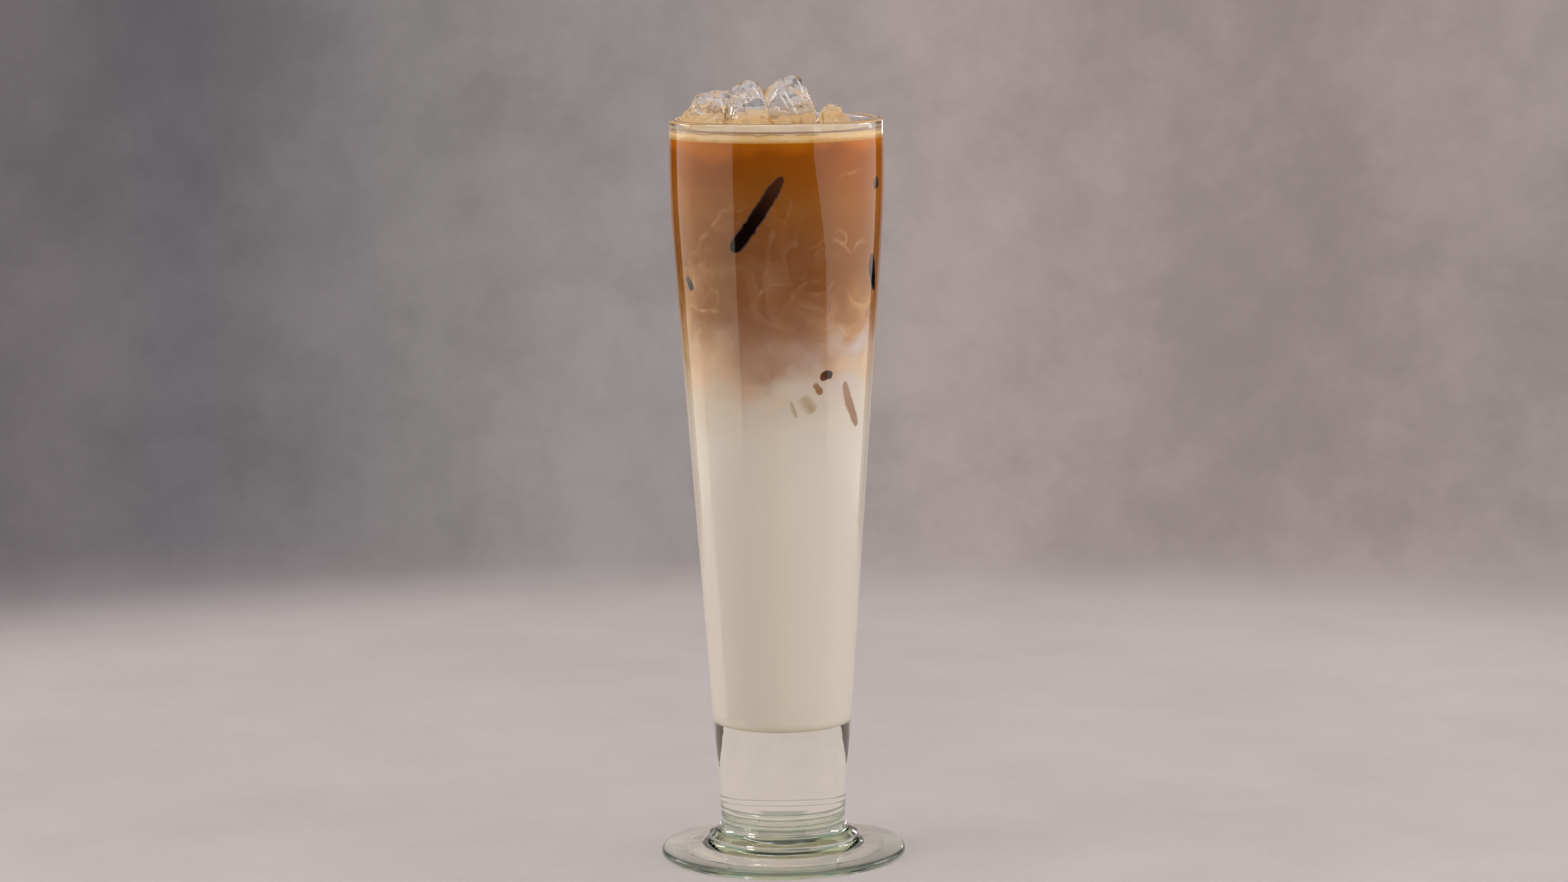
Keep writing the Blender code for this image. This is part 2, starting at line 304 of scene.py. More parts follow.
def smooth_way(points, steps):
    """A smooth way through points of any size, as a list of tuples."""
    ends = [points[0]] + list(points) + [points[-1]]
    way = []
    for i in range(1, len(ends) - 2):
        before, start, end, after = ends[i - 1 : i + 3]
        for k in range(steps):
            t = k / steps
            place = []
            for b, s, e, a in zip(before, start, end, after):
                lift = (e - b) * t + (2 * b - 5 * s + 4 * e - a) * t**2 + (3 * s - b - 3 * e + a) * t**3
                place.append(s + lift / 2)
            way.append(tuple(place))
    way.append(tuple(points[-1]))
    return way


def finish_shape(name, shape, material, smooth=True):
    """Turns a bmesh into an object in the scene."""
    bmesh.ops.recalc_face_normals(shape, faces=list(shape.faces))
    mesh = bpy.data.meshes.new(name)
    shape.to_mesh(mesh)
    shape.free()
    if smooth:
        mesh.shade_smooth()
        mesh.set_sharp_from_angle(angle=math.radians(48))
    mesh.materials.append(material)
    piece = bpy.data.objects.new(name, mesh)
    bpy.context.scene.collection.objects.link(piece)
    return piece


def write_values(piece, name, values):
    """Keeps one number for each point of a piece, for its material to read."""
    piece.data.attributes.new(name, "FLOAT", "POINT").data.foreach_set("value", values)


def join_rings(shape, rings):
    """Faces between neighbouring rings of vertices; a ring of one vertex is a pole."""
    for upper, lower in zip(rings, rings[1:]):
        steps = max(len(upper), len(lower))
        for i in range(steps):
            j = (i + 1) % steps
            corners = [upper[i % len(upper)], upper[j % len(upper)]]
            corners += [lower[j % len(lower)], lower[i % len(lower)]]
            shape.faces.new(list(dict.fromkeys(corners)))


def groove_depth(z):
    """How deep the grooves are at a height."""
    depth = 0.0
    for height in GROOVE_HEIGHTS:
        offset = abs(z - height)
        if offset < GROOVE_HALF_WIDTH:
            depth += GROOVE_DEPTH * (0.5 + 0.5 * math.cos(math.pi * offset / GROOVE_HALF_WIDTH))
    return depth


def glass_profile():
    """Half outline of the glass as (radius, height), from the bowl's floor over the rim to the foot."""
    bead = WALL_AT_RIM / 2
    bead_height = RIM_HEIGHT - bead
    corner_height = FLOOR_HEIGHT + FLOOR_CORNER
    wall_heights = [corner_height + (bead_height - corner_height) * i / 40 for i in range(41)]
    profile = [(inner_radius(corner_height) * i / 8, FLOOR_HEIGHT) for i in range(7)]
    profile += arc((inner_radius(corner_height) - FLOOR_CORNER, corner_height), FLOOR_CORNER, -90, 0, 10)
    profile += [(inner_radius(z), z) for z in wall_heights[1:]]
    profile += arc((outer_radius(bead_height) - bead, bead_height), bead, 165, 15, 14)
    lowest_wall = GROOVE_HEIGHTS[0] + GROOVE_HALF_WIDTH
    profile += [(outer_radius(z), z) for z in reversed(wall_heights)]
    profile += [(outer_radius(z), z) for z in (40 * MM, 32 * MM, 25 * MM, lowest_wall + 1 * MM)]
    for height in GROOVE_HEIGHTS:
        for k in range(9):
            offset = GROOVE_HALF_WIDTH * (1 - k / 4)
            profile.append((outer_radius(height + offset), height + offset))
    flare_centre = (outer_radius(FLARE_TOP) + FLARE_RADIUS, FLARE_TOP)
    profile += arc(flare_centre, FLARE_RADIUS, 180, FLARE_END_DEG, 16)[1:]
    profile.append((COLLAR_RADIUS, COLLAR_HEIGHT))
    profile += arc((COLLAR_RADIUS + FILLET_RADIUS, COLLAR_HEIGHT), FILLET_RADIUS, 195, 270, 12)
    edge_centre = (FOOT_RADIUS - FOOT_EDGE_RADIUS, FOOT_EDGE_RADIUS)
    profile += arc(edge_centre, FOOT_EDGE_RADIUS, 80, -90, 14)
    for i in range(13):
        share = 1 - i / 12
        profile.append((REST_RING_INNER * share, UNDERSIDE_RISE * (1 - share * share)))
    return profile


def glass_point(radius, height, angle):
    """A point of the profile turned to an angle, with its grooves and the waviness of pressed glass."""
    direction = Vector((math.cos(angle), math.sin(angle), 0.0))
    front_share = smoothstep(0.4, -0.5, direction.y)
    cut = groove_depth(height) * (GROOVE_AT_BACK + (1 - GROOVE_AT_BACK) * front_share)
    place = direction * (radius - cut) + Vector((0, 0, height))
    if height < FOOT_EDGE_RADIUS * 0.5:
        return place
    swell = noise.noise(place * 60.0) * GLASS_SWELL * smoothstep(30 * MM, 12 * MM, height)
    wave = noise.fractal(place * 95.0, 1.0, 2.0, 2) * FOOT_WAVE
    wave *= smoothstep(8 * MM, 5 * MM, height) * smoothstep(FOOT_RADIUS, 36 * MM, radius)
    return place + direction * swell + Vector((0.0, 0.0, wave))


def build_glass(material):
    shape = bmesh.new()
    turns = [math.tau * i / GLASS_STEPS for i in range(GLASS_STEPS)]
    rings = []
    for radius, height in glass_profile():
        if radius < 0.01 * MM:
            rings.append([shape.verts.new((0.0, 0.0, height))])
        else:
            rings.append([shape.verts.new(glass_point(radius, height, angle)) for angle in turns])
    join_rings(shape, rings)
    glass = finish_shape("glass_blown", shape, material)
    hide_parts("glass")
    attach(glass, "root")


def column_angles():
    """Angles round the glass, closer together at the front, as radians from the front."""
    angles = [-math.pi / 2 + math.pi * i / FRONT_COLUMNS for i in range(FRONT_COLUMNS)]
    angles += [math.pi / 2 + math.pi * i / BACK_COLUMNS for i in range(BACK_COLUMNS)]
    return angles


def wall_place(angle, z, reach=0.0):
    """The point of the drink's outside at an angle and a height, pushed out by the reach."""
    radius = drink_radius(z) + reach
    return Vector((radius * math.sin(angle), -radius * math.cos(angle), z))


def level_at_wall(surface, angle):
    """Where an uneven level meets the wall."""
    z = surface(0, 0)
    for _ in range(4):
        place = wall_place(angle, z)
        z = surface(place.x, place.y)
    return z


def build_layer(name, low, high, rows, cap_rings, ease, material):
    """One layer of the drink between two levels. An ease over 1 crowds its rows towards the lower one."""
    shape = bmesh.new()
    angles = column_angles()
    low_edge = [level_at_wall(low, angle) for angle in angles]
    high_edge = [level_at_wall(high, angle) for angle in angles]

    def cap(surface, edge):
        rings = []
        for k in range(1, cap_rings):
            share = k / cap_rings
            ring = []
            for angle, z in zip(angles, edge):
                place = wall_place(angle, z) * share
                ring.append(shape.verts.new((place.x, place.y, surface(place.x, place.y))))
            rings.append(ring)
        return [[shape.verts.new((0.0, 0.0, surface(0.0, 0.0)))]] + rings

    wall = []
    for row in range(rows + 1):
        share = (row / rows) ** ease
        ring = []
        for angle, bottom, top in zip(angles, low_edge, high_edge):
            ring.append(shape.verts.new(wall_place(angle, bottom + (top - bottom) * share)))
        wall.append(ring)
    join_rings(shape, cap(low, low_edge) + wall + list(reversed(cap(high, high_edge))))
    return finish_shape(name, shape, material)


def milk_line_at(degrees):
    """Height of the milk line and the depth of the change, both in millimetres, at an angle."""
    first = MILK_LINE[0]
    around = list(MILK_LINE) + [(first[0] + 360, first[1], first[2])]
    turned = (degrees + 90) % 360 - 90
    for left, right in zip(around, around[1:]):
        if turned <= right[0]:
            share = smoothstep(left[0], right[0], turned)
            return left[1] + (right[1] - left[1]) * share, left[2] + (right[2] - left[2]) * share
    return first[1], first[2]


def milk_share_at(place):
    """How much milk there is at a place on the drink's outside, from 0 in coffee to 1 in milk."""
    degrees = math.degrees(math.atan2(place.x, -place.y))
    line, depth = milk_line_at(degrees)
    bend = noise.noise_vector(place * 70.0) * 8 * MM
    stir = noise.fractal((place + bend) * 75.0, 0.9, 2.1, 4) * (1.2 + depth * 0.2)
    height = place.z / MM + stir
    haze = smoothstep(HAZE_TOP, HAZE_FOOT, height + stir)
    quick = smoothstep(line + depth, line, height)
    tail = smoothstep(TAIL_TOP, TAIL_FOOT, height + stir * 0.5)
    haze_share = HAZE_AT_FRONT + HAZE_AT_SIDES * abs(math.sin(math.radians(degrees))) ** 1.4
    return haze_share * haze + (1 - TAIL_SHARE - haze_share) * quick + TAIL_SHARE * tail


def tint_at(place):
    """Tint of the milky parts at a place on the drink's outside, from -1 for lilac to 1 for orange."""
    tint = 0.0
    for degrees, height, half_width, half_height, strength in TINT_PATCHES:
        angle = math.radians(degrees)
        turn = (math.atan2(place.x, -place.y) - angle + math.pi) % math.tau - math.pi
        across = turn * place.xy.length / MM / half_width
        above = (place.z / MM - height) / half_height
        warp = 1 + 0.7 * noise.fractal(place * 150.0, 0.9, 2.1, 3)
        tint += strength * math.exp(-(across**2 + above**2) * max(warp, 0.2))
    return tint


def thread_points():
    threads = []
    for strength, half_width, points in THREADS:
        way = []
        for degrees, height in smooth_way(points, 8):
            way.append(wall_place(math.radians(degrees), height * MM))
        low = min(p.z for p in way) - 3 * half_width * MM
        high = max(p.z for p in way) + 3 * half_width * MM
        threads.append((strength, half_width * MM, way, low, high))
    return threads


def thread_at(place, threads):
    """Strength of the painted threads of milk at a place on the drink's outside."""
    best = 0.0
    place = place + noise.noise_vector(place * 230.0) * 1.3 * MM
    for strength, half_width, way, low, high in threads:
        if not low < place.z < high:
            continue
        for i, (start, end) in enumerate(zip(way, way[1:])):
            along = end - start
            share = min(max((place - start).dot(along) / along.length_squared, 0.0), 1.0)
            gap = (place - start - along * share).length
            if gap < 3 * half_width:
                taper = math.sin(math.pi * (i + share + 0.5) / len(way)) ** 0.6
                best = max(best, strength * taper * math.exp(-((gap / half_width) ** 2)))
    return best


def paint_drink(piece, threads):
    """Writes the share of milk, its tint and the threads of milk on a piece's points."""
    places = [vertex.co for vertex in piece.data.vertices]
    write_values(piece, "milk_share", [milk_share_at(place) for place in places])
    write_values(piece, "tint", [tint_at(place) for place in places])
    write_values(piece, "thread", [thread_at(place, threads) for place in places])


def build_drink(materials, threads):
    """The layers of the drink, each with its node, its slot, its two levels, and how finely it is made."""
    for name, node, slot, low, high, rows, cap_rings, ease in (
        ("milk_fill", "milk", "milk", glass_floor, milk_top, 120, 12, 2.0),
        ("mixed_fill", "mixed_layer", "mixed_drink", milk_top, coffee_floor, 40, 8, 1.0),
        ("coffee_fill", "coffee", "coffee", coffee_floor, foam_floor, 110, 8, 1.0),
        ("foam_fill", "foam", "foam", foam_floor, foam_top, 10, 60, 1.0),
    ):
        piece = build_layer(name, low, high, rows, cap_rings, ease, materials[slot])
        paint_drink(piece, threads)
        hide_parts(node)
        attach(piece, "root")


def ice_hull(name, ridge, belt, root_height):
    """The hull of one piece's corners: its ridge, its belt at the foam, and the belt shrunk at its root."""
    middle_x = sum(x for x, y in belt) / len(belt)
    middle_y = sum(y for x, y in belt) / len(belt)
    shape = bmesh.new()
    for x, y, z in ridge:
        shape.verts.new((x * MM, y * MM, z * MM))
    for x, y in belt:
        shape.verts.new((x * MM, y * MM, BELT_HEIGHT * MM))
        root_x = middle_x + (x - middle_x) * ROOT_SHRINK
        root_y = middle_y + (y - middle_y) * ROOT_SHRINK
        shape.verts.new((root_x * MM, root_y * MM, root_height * MM))
    hull = bmesh.ops.convex_hull(shape, input=list(shape.verts))
    bmesh.ops.delete(shape, geom=list(set(hull["geom_interior"])), context="VERTS")
    return shape


def ice_wear(place, seed):
    """How deep melting has cut the ice at a place, in millimetres, and how near the cut's border it is."""
    warped = place * 125.0 + seed
    warped += noise.noise_vector(warped * 0.8) * 0.45
    distances, _ = noise.voronoi(warped)
    hollow = max(0.0, 1 - (distances[0] / 0.62) ** 2)
    small, _ = noise.voronoi(place * 290.0 + seed)
    pit = max(0.0, 1 - (small[0] / 0.55) ** 2)
    border = smoothstep(0.10, 0.0, distances[1] - distances[0])
    return hollow * ICE_HOLLOW + pit * ICE_PIT, border


def ridge_values(piece):
    """How sharply the surface stands out at each point of a piece, in mesh cells."""
    shape = bmesh.new()
    shape.from_mesh(piece.data)
    values = []
    for vertex in shape.verts:
        around = Vector()
        for edge in vertex.link_edges:
            around += edge.other_vert(vertex).co
        middle = around / len(vertex.link_edges)
        values.append((vertex.co - middle).dot(vertex.normal) / (ICE_CELL * MM))
    shape.free()
    return values


def take_mesh(piece, keep=False):
    """The mesh of a piece with its modifiers applied. The piece goes, unless it is kept."""
    evaluated = piece.evaluated_get(bpy.context.evaluated_depsgraph_get())
    mesh = bpy.data.meshes.new_from_object(evaluated)
    if not keep:
        bpy.data.objects.remove(piece)
    return mesh


def build_ice(name, form, material):
    """A piece of ice: the hull of its corners, cut into shallow hollows and then melted smooth."""
    rough = finish_shape(name + "_rough", ice_hull(name, **form), material, smooth=False)
    remesh = rough.modifiers.new("even cells", "REMESH")
    remesh.mode = "VOXEL"
    remesh.voxel_size = ICE_CELL * MM
    ice = bpy.data.objects.new(name + "_clear", take_mesh(rough))
    bpy.context.scene.collection.objects.link(ice)
    seed = Vector((len(name) * 0.37, form["root_height"] * 0.11, 0.0))
    write_values(ice, "ridge", ridge_values(ice))
    borders = []
    for vertex, normal in zip(ice.data.vertices, [v.normal.copy() for v in ice.data.vertices]):
        depth, border = ice_wear(vertex.co, seed)
        borders.append(border)
        vertex.co -= normal * (depth - ICE_SWELL) * MM
    write_values(ice, "border", borders)
    melt = ice.modifiers.new("melted edges", "SMOOTH")
    melt.factor = 0.5
    melt.iterations = 3
    ice.data = take_mesh(ice, keep=True)
    ice.modifiers.clear()
    ice.data.shade_smooth()
    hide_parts(name)
    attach(ice, "root")


def build_crack_and_highlight(name, way, half_width, material):
    """A white crack inside the ice, which also stands in for a highlight: a thin curved sliver."""
    shape = bmesh.new()
    points = smooth_way(way, 6)
    rings = []
    for i, point in enumerate(points):
        share = i / (len(points) - 1)
        taper = math.sin(math.pi * share) ** 0.7 * (1 + 0.5 * noise.noise(Vector(point) * 0.9))
        ahead = Vector(points[min(i + 1, len(points) - 1)]) - Vector(points[max(i - 1, 0)])
        side = ahead.cross(Vector((0.3, 1.0, 0.2))).normalized() * half_width * taper
        front = Vector((0.0, -0.05, 0.0)) * taper
        middle = Vector(point)
        if 0 < i < len(points) - 1:
            rings.append([middle + side, middle + front, middle - side, middle - front])
        else:
            rings.append([middle])
    made = [[shape.verts.new(corner * MM) for corner in ring] for ring in rings]
    join_rings(shape, made)
    crack = finish_shape(name, shape, material)
    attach(crack, "root")


def join_rows(shape, rows):
    """Faces between neighbouring rows of vertices, which may share their ends."""
    for row, following in zip(rows, rows[1:]):
        for k in range(len(row) - 1):
            corners = [row[k], row[k + 1], following[k + 1], following[k]]
            shape.faces.new(list(dict.fromkeys(corners)))


def build_sunk_ice(name, way, material, threads):
    """The face of a sunk piece of ice that lies against the wall, as a thin lens just inside it."""
    shape = bmesh.new()
    points = smooth_way(way, 10)
    last = len(points) - 1
    core_values = []
    along_values = []
    outer_rows = []
    inner_rows = []
    for i, (degrees, height, half_width) in enumerate(points):
        behind = points[max(i - 1, 0)]
        ahead = points[min(i + 1, last)]
        radius = drink_radius(height * MM)
        run = math.radians(ahead[0] - behind[0]) * radius
        rise = (ahead[1] - behind[1]) * MM
        length = math.hypot(run, rise)
        end_share = min(i, last - i) / last * 2
        round_off = math.sqrt(max(0.0, 1 - (1 - min(end_share * 3.5, 1.0)) ** 2))
        jag = 1 + 0.22 * noise.noise(Vector((degrees * 0.4, height * 0.9, len(name))))
        reach = half_width * MM * max(round_off, 0.02) * jag
        outer_row = []
        inner_row = []
        for k in range(SUNK_ICE_STEPS + 1):
            side = 2 * k / SUNK_ICE_STEPS - 1
            angle = math.radians(degrees) - side * reach * rise / length / radius
            z = height * MM + side * reach * run / length
            hump = (1 - side**4) * min(1.0, round_off * 1.5)
            outer_row.append(shape.verts.new(wall_place(angle, z, (0.17 * hump - 0.03) * MM)))
            core_values.append((1 - abs(side)) * min(1.0, round_off + 0.1))
            along_values.append(i / last)
            if 0 < k < SUNK_ICE_STEPS:
                sink = -(0.05 + 1.2 * (1 - side * side)) * MM
                inner_row.append(shape.verts.new(wall_place(angle, z, sink)))
                core_values.append(0.0)
                along_values.append(0.0)
            else:
                inner_row.append(outer_row[-1])
        outer_rows.append(outer_row)
        inner_rows.append(inner_row)
    for rows in (outer_rows, inner_rows, (outer_rows[0], inner_rows[0]), (outer_rows[-1], inner_rows[-1])):
        join_rows(shape, rows)
    piece = finish_shape(name, shape, material)
    write_values(piece, "core", core_values)
    write_values(piece, "along", along_values)
    paint_drink(piece, threads)
    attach(piece, "root")


# Finishes

WHITE = (1.0, 1.0, 1.0)


def feed(tree, node, inputs):
    """Feeds a node: an input given a socket is linked, and any other value is set."""
    for name, value in inputs.items():
        socket = node.inputs[name]
        if isinstance(value, bpy.types.NodeSocket):
            tree.links.new(value, socket)
        elif socket.type == "RGBA":
            socket.default_value = (*value, 1.0)
        else:
            socket.default_value = value


def put(tree, kind, inputs=None, **settings):
    """Adds a node with its settings and what feeds it."""
    made = tree.nodes.new(kind)
    for name, value in settings.items():
        setattr(made, name, value)
    feed(tree, made, inputs or {})
    return made


def reckon(tree, operation, first, second=0.0, third=0.0):
    return put(tree, "ShaderNodeMath", {0: first, 1: second, 2: third}, operation=operation).outputs[0]


def times(tree, product, *factors):
    for factor in factors:
        product = reckon(tree, "MULTIPLY", product, factor)
    return product


def reckon_places(tree, operation, first, second):
    return put(tree, "ShaderNodeVectorMath", {0: first, 1: second}, operation=operation).outputs[0]


def blend(tree, share, first, second, way="MIX"):
    inputs = {0: share, 6: first, 7: second}
    return put(tree, "ShaderNodeMix", inputs, data_type="RGBA", blend_type=way).outputs[2]


def rescale(tree, value, low, high, new_low=0.0, new_high=1.0, smooth=True):
    inputs = {0: value, 1: low, 2: high, 3: new_low, 4: new_high}
    kind = "SMOOTHSTEP" if smooth else "LINEAR"
    return put(tree, "ShaderNodeMapRange", inputs, interpolation_type=kind).outputs[0]


def mottle(tree, place, scale, detail=3.0, roughness=0.5):
    inputs = {"Vector": place, "Scale": scale, "Detail": detail, "Roughness": roughness}
    return put(tree, "ShaderNodeTexNoise", inputs).outputs["Fac"]


def waver(tree, value, place, scale, reach):
    """A value that wanders by up to the reach either way."""
    shift = reckon(tree, "MULTIPLY_ADD", mottle(tree, place, scale), 2 * reach, -reach)
    return reckon(tree, "ADD", value, shift)


def line_at(tree, value, centre, half_width, core):
    """1 where the value is within the core of a line's centre, falling to 0 at its half width."""
    gap = reckon(tree, "ABSOLUTE", reckon(tree, "SUBTRACT", value, centre))
    return rescale(tree, gap, half_width, core)


def colour_steps(tree, value, stops):
    """A colour ramp through stops given as position and colour."""
    made = put(tree, "ShaderNodeValToRGB", {0: value})
    elements = made.color_ramp.elements
    while len(elements) < len(stops):
        elements.new(0.5)
    for element, (position, colour) in zip(elements, stops):
        element.position = position
        element.color = (*colour, 1.0)
    return made.outputs[0]


def bump(tree, height, strength, distance):
    inputs = {"Height": height, "Strength": strength, "Distance": distance}
    return put(tree, "ShaderNodeBump", inputs).outputs[0]


def object_place(tree):
    return put(tree, "ShaderNodeTexCoord").outputs["Object"]


def height_at(tree, place):
    return put(tree, "ShaderNodeSeparateXYZ", {0: place}).outputs["Z"]


def axis_distance(tree, place):
    """How far a place lies from the axis of the glass."""
    level_place = reckon_places(tree, "MULTIPLY", place, (1.0, 1.0, 0.0))
    return put(tree, "ShaderNodeVectorMath", {0: level_place}, operation="LENGTH").outputs["Value"]


def written(tree, name):
    """The number that write_values kept for each point."""
    return put(tree, "ShaderNodeAttribute", attribute_name=name).outputs["Fac"]


def new_material(name):
    material = bpy.data.materials.new(name)
    material.use_nodes = True
    tree = material.node_tree
    return material, tree, tree.nodes["Principled BSDF"], tree.nodes["Material Output"]


# Colours of the drink by height in millimetres, from the mixed layer up to the foam
COFFEE_COLOURS = (
    (150, (0.46, 0.30, 0.20)),
    (163, (0.44, 0.245, 0.15)),
    (170, (0.39, 0.195, 0.105)),
    (177, (0.33, 0.150, 0.078)),
    (184, (0.30, 0.118, 0.045)),
    (199, (0.275, 0.100, 0.032)),
    (214, (0.330, 0.112, 0.020)),
    (225, (0.325, 0.092, 0.008)),
    (230, (0.330, 0.086, 0.005)),
    (234, (0.480, 0.135, 0.006)),
)
MILK_COLOUR = (0.765, 0.672, 0.578)
CLOUD_COLOUR = (0.62, 0.36, 0.19)
DEEP_COFFEE = (0.20, 0.062, 0.012)
THREAD_COLOUR = (0.80, 0.54, 0.37)
PEACH = (0.84, 0.50, 0.29)
LILAC = (0.70, 0.58, 0.56)
PEACH_STRENGTH = 2.2
LILAC_STRENGTH = 3.2

# Faint sheets of milk in the coffee: how fine they are, a shift that sets them apart, and their strength
MILK_SHEETS = ((48.0, 0.0, 0.17), (70.0, 3.7, 0.13))

# Painted light: the coffee is brighter towards its sides, between these distances from the middle, and less
# blue at the left, for light that comes through it there; the milk is painted brighter near its foot
GLOW_START = 9 * MM
GLOW_END = 24 * MM
RIGHT_GLOW = 1.36
LEFT_GLOW = 1.18
LEFT_BLUE = 0.75
MILK_FOOT_PAINTED_LIGHT = 1.16


def coffee_by_height(group, place, height):
    """Coffee's colours from the mixed layer up to the foam, at an uneven level."""
    low = COFFEE_COLOURS[0][0]
    high = COFFEE_COLOURS[-1][0]
    level = waver(group, height, place, 60.0, 8 * MM)
    stops = [((at - low) / (high - low), colour) for at, colour in COFFEE_COLOURS]
    return colour_steps(group, rescale(group, level, low * MM, high * MM, smooth=False), stops)


def stirred_place(group, place):
    """A place moved by slow swirls, so that what is painted by it looks stirred."""
    swirl = put(group, "ShaderNodeTexNoise", {"Vector": place, "Scale": 26.0, "Detail": 2.0}).outputs["Color"]
    swirl = reckon_places(group, "SUBTRACT", swirl, (0.5, 0.5, 0.5))
    swirl = reckon_places(group, "MULTIPLY", swirl, (0.05, 0.05, 0.05))
    return reckon_places(group, "ADD", place, swirl)


def milk_wisps(group, place, stirred, lower, thread):
    """How strongly wisps show: the threads of milk, broken up, and the faint sheets."""
    broken = rescale(group, mottle(group, place, 230.0, 4.0, 0.6), 0.36, 0.60, 0.25, 0.62)
    wisps = times(group, thread, broken)
    for scale, shift, strength in MILK_SHEETS:
        fold = mottle(group, reckon_places(group, "ADD", stirred, (shift, shift, 0.0)), scale, 2.0, 0.45)
        sharp = rescale(group, fold, 0.485, 0.502)
        soft = rescale(group, fold, 0.60, 0.502)
        gate = rescale(group, mottle(group, place, 33.0 + shift, 2.0), 0.44, 0.66)
        wisps = reckon(group, "MAXIMUM", wisps, times(group, sharp, soft, gate, lower, strength))
    return wisps


def side_glow(group, across):
    """Factors for red, green and blue, for the light that comes through the drink at its sides."""
    right = rescale(group, across, GLOW_START, GLOW_END, 1.0, RIGHT_GLOW)
    left = rescale(group, across, -GLOW_START, -GLOW_END, 1.0, LEFT_GLOW)
    blue = rescale(group, across, -GLOW_START, -GLOW_END, 1.0, LEFT_BLUE)
    glow = times(group, right, left)
    return put(group, "ShaderNodeCombineXYZ", {0: glow, 1: glow, 2: blue}).outputs[0]


def drink_colour_group():
    """Colour of the drink at a place: coffee by height, clouds and wisps of milk in it, and milk below, with
    painted light at the coffee's sides and the milk's foot.
    """
    group = bpy.data.node_groups.new("drink_colour", "ShaderNodeTree")
    group.interface.new_socket("Place", in_out="INPUT", socket_type="NodeSocketVector")
    for name in ("Milk share", "Tint", "Thread"):
        group.interface.new_socket(name, in_out="INPUT", socket_type="NodeSocketFloat")
    group.interface.new_socket("Colour", in_out="OUTPUT", socket_type="NodeSocketColor")
    entry = group.nodes.new("NodeGroupInput").outputs
    place = entry["Place"]
    milk_share = entry["Milk share"]
    parts = put(group, "ShaderNodeSeparateXYZ", {0: place}).outputs
    across = parts["X"]
    height = parts["Z"]
    lower = rescale(group, height, 226 * MM, 186 * MM)
    stirred = stirred_place(group, place)

    coffee = coffee_by_height(group, place, height)
    cloud = rescale(group, mottle(group, stirred, 42.0, 5.0, 0.55), 0.46, 0.74)
    veil = rescale(group, reckon(group, "ABSOLUTE", across), 8 * MM, 22 * MM, 0.22, 0.42)
    coffee = blend(group, times(group, cloud, lower, veil), coffee, CLOUD_COLOUR)
    deep = rescale(group, mottle(group, stirred, 55.0), 0.48, 0.28)
    coffee = blend(group, times(group, deep, 0.22), coffee, DEEP_COFFEE)
    wisps = milk_wisps(group, place, stirred, lower, entry["Thread"])
    coffee = blend(group, wisps, coffee, THREAD_COLOUR)
    # Painted light: the coffee is brighter towards its sides
    coffee = reckon_places(group, "MULTIPLY", coffee, side_glow(group, across))

    colour = blend(group, milk_share, coffee, MILK_COLOUR)
    between = times(group, milk_share, reckon(group, "SUBTRACT", 1.0, milk_share))
    warm = rescale(group, entry["Tint"], 0.0, 1.0, 0.15, 1.0, smooth=False)
    cool = rescale(group, entry["Tint"], 0.0, -1.0, smooth=False)
    colour = blend(group, times(group, warm, PEACH_STRENGTH, between), colour, PEACH)
    colour = blend(group, times(group, cool, LILAC_STRENGTH, between), colour, LILAC)
    # Painted light: the milk's foot, which faces down away from the lamps, is brightened
    milk_foot_light = rescale(group, height, 48.5 * MM, 44.5 * MM, 1.0, MILK_FOOT_PAINTED_LIGHT)
    colour = blend(group, 1.0, colour, milk_foot_light, "MULTIPLY")
    put(group, "NodeGroupOutput", {"Colour": colour})
    return group


def drink_colour(tree, group):
    """Places the shared drink colour in a material and returns its colour."""
    inputs = {"Place": object_place(tree)}
    for name, values in (("Milk share", "milk_share"), ("Tint", "tint"), ("Thread", "thread")):
        inputs[name] = written(tree, values)
    return put(tree, "ShaderNodeGroup", inputs, node_tree=group).outputs["Colour"]


def drink_material(name, group):
    """Milk, the mixed layer or coffee: cloudy liquid seen against the glass, so without a gloss."""
    material, tree, shader, _ = new_material(name)
    colour = drink_colour(tree, group)
    feed(tree, shader, {"Base Color": colour, "Roughness": 0.6, "Specular IOR Level": 0.0})
    return material


# Sunk ice by look: the colours of low end, high end and rim, its strength, and how softly the rim fades
SUNK_LOOKS = {
    "deep": ((0.007, 0.002, 0.0015), (0.085, 0.028, 0.010), (0.095, 0.062, 0.060), 1.0, 0.16),
    "brown": ((0.060, 0.022, 0.016), (0.17, 0.075, 0.035), (0.14, 0.085, 0.075), 1.0, 0.25),
    "tan": ((0.33, 0.165, 0.08), (0.42, 0.235, 0.13), (0.46, 0.30, 0.19), 0.95, 0.4),
    "olive": ((0.42, 0.29, 0.16), (0.50, 0.36, 0.21), (0.60, 0.47, 0.31), 0.75, 0.95),
}


def sunk_ice_material(look, group):
    """Sunk ice, whose tone changes along it and whose rim fades into the drink."""
    low_end, high_end, rim, strength, softness = SUNK_LOOKS[look]
    material, tree, shader, _ = new_material("sunk_ice_" + look)
    core = waver(tree, written(tree, "core"), object_place(tree), 420.0, 0.08)
    tone = blend(tree, rescale(tree, written(tree, "along"), 0.7, 0.0), low_end, high_end)
    body = blend(tree, rescale(tree, core, 0.10, 0.36), rim, tone)
    shown = times(tree, rescale(tree, core, 0.0, softness), strength)
    colour = blend(tree, shown, drink_colour(tree, group), body)
    feed(tree, shader, {"Base Color": colour, "Roughness": 0.5, "Specular IOR Level": 0.0})
    return material


FOAM_COLOUR = (0.92, 0.60, 0.27)
FOAM_AMBER = (0.66, 0.33, 0.08)
FOAM_PALE = (0.95, 0.70, 0.40)
# Pale grey of a painted reflection at the top of the foam's wall
FOAM_REFLECTION_GREY = (0.70, 0.58, 0.49)
COFFEE_RING = (0.30, 0.13, 0.045)

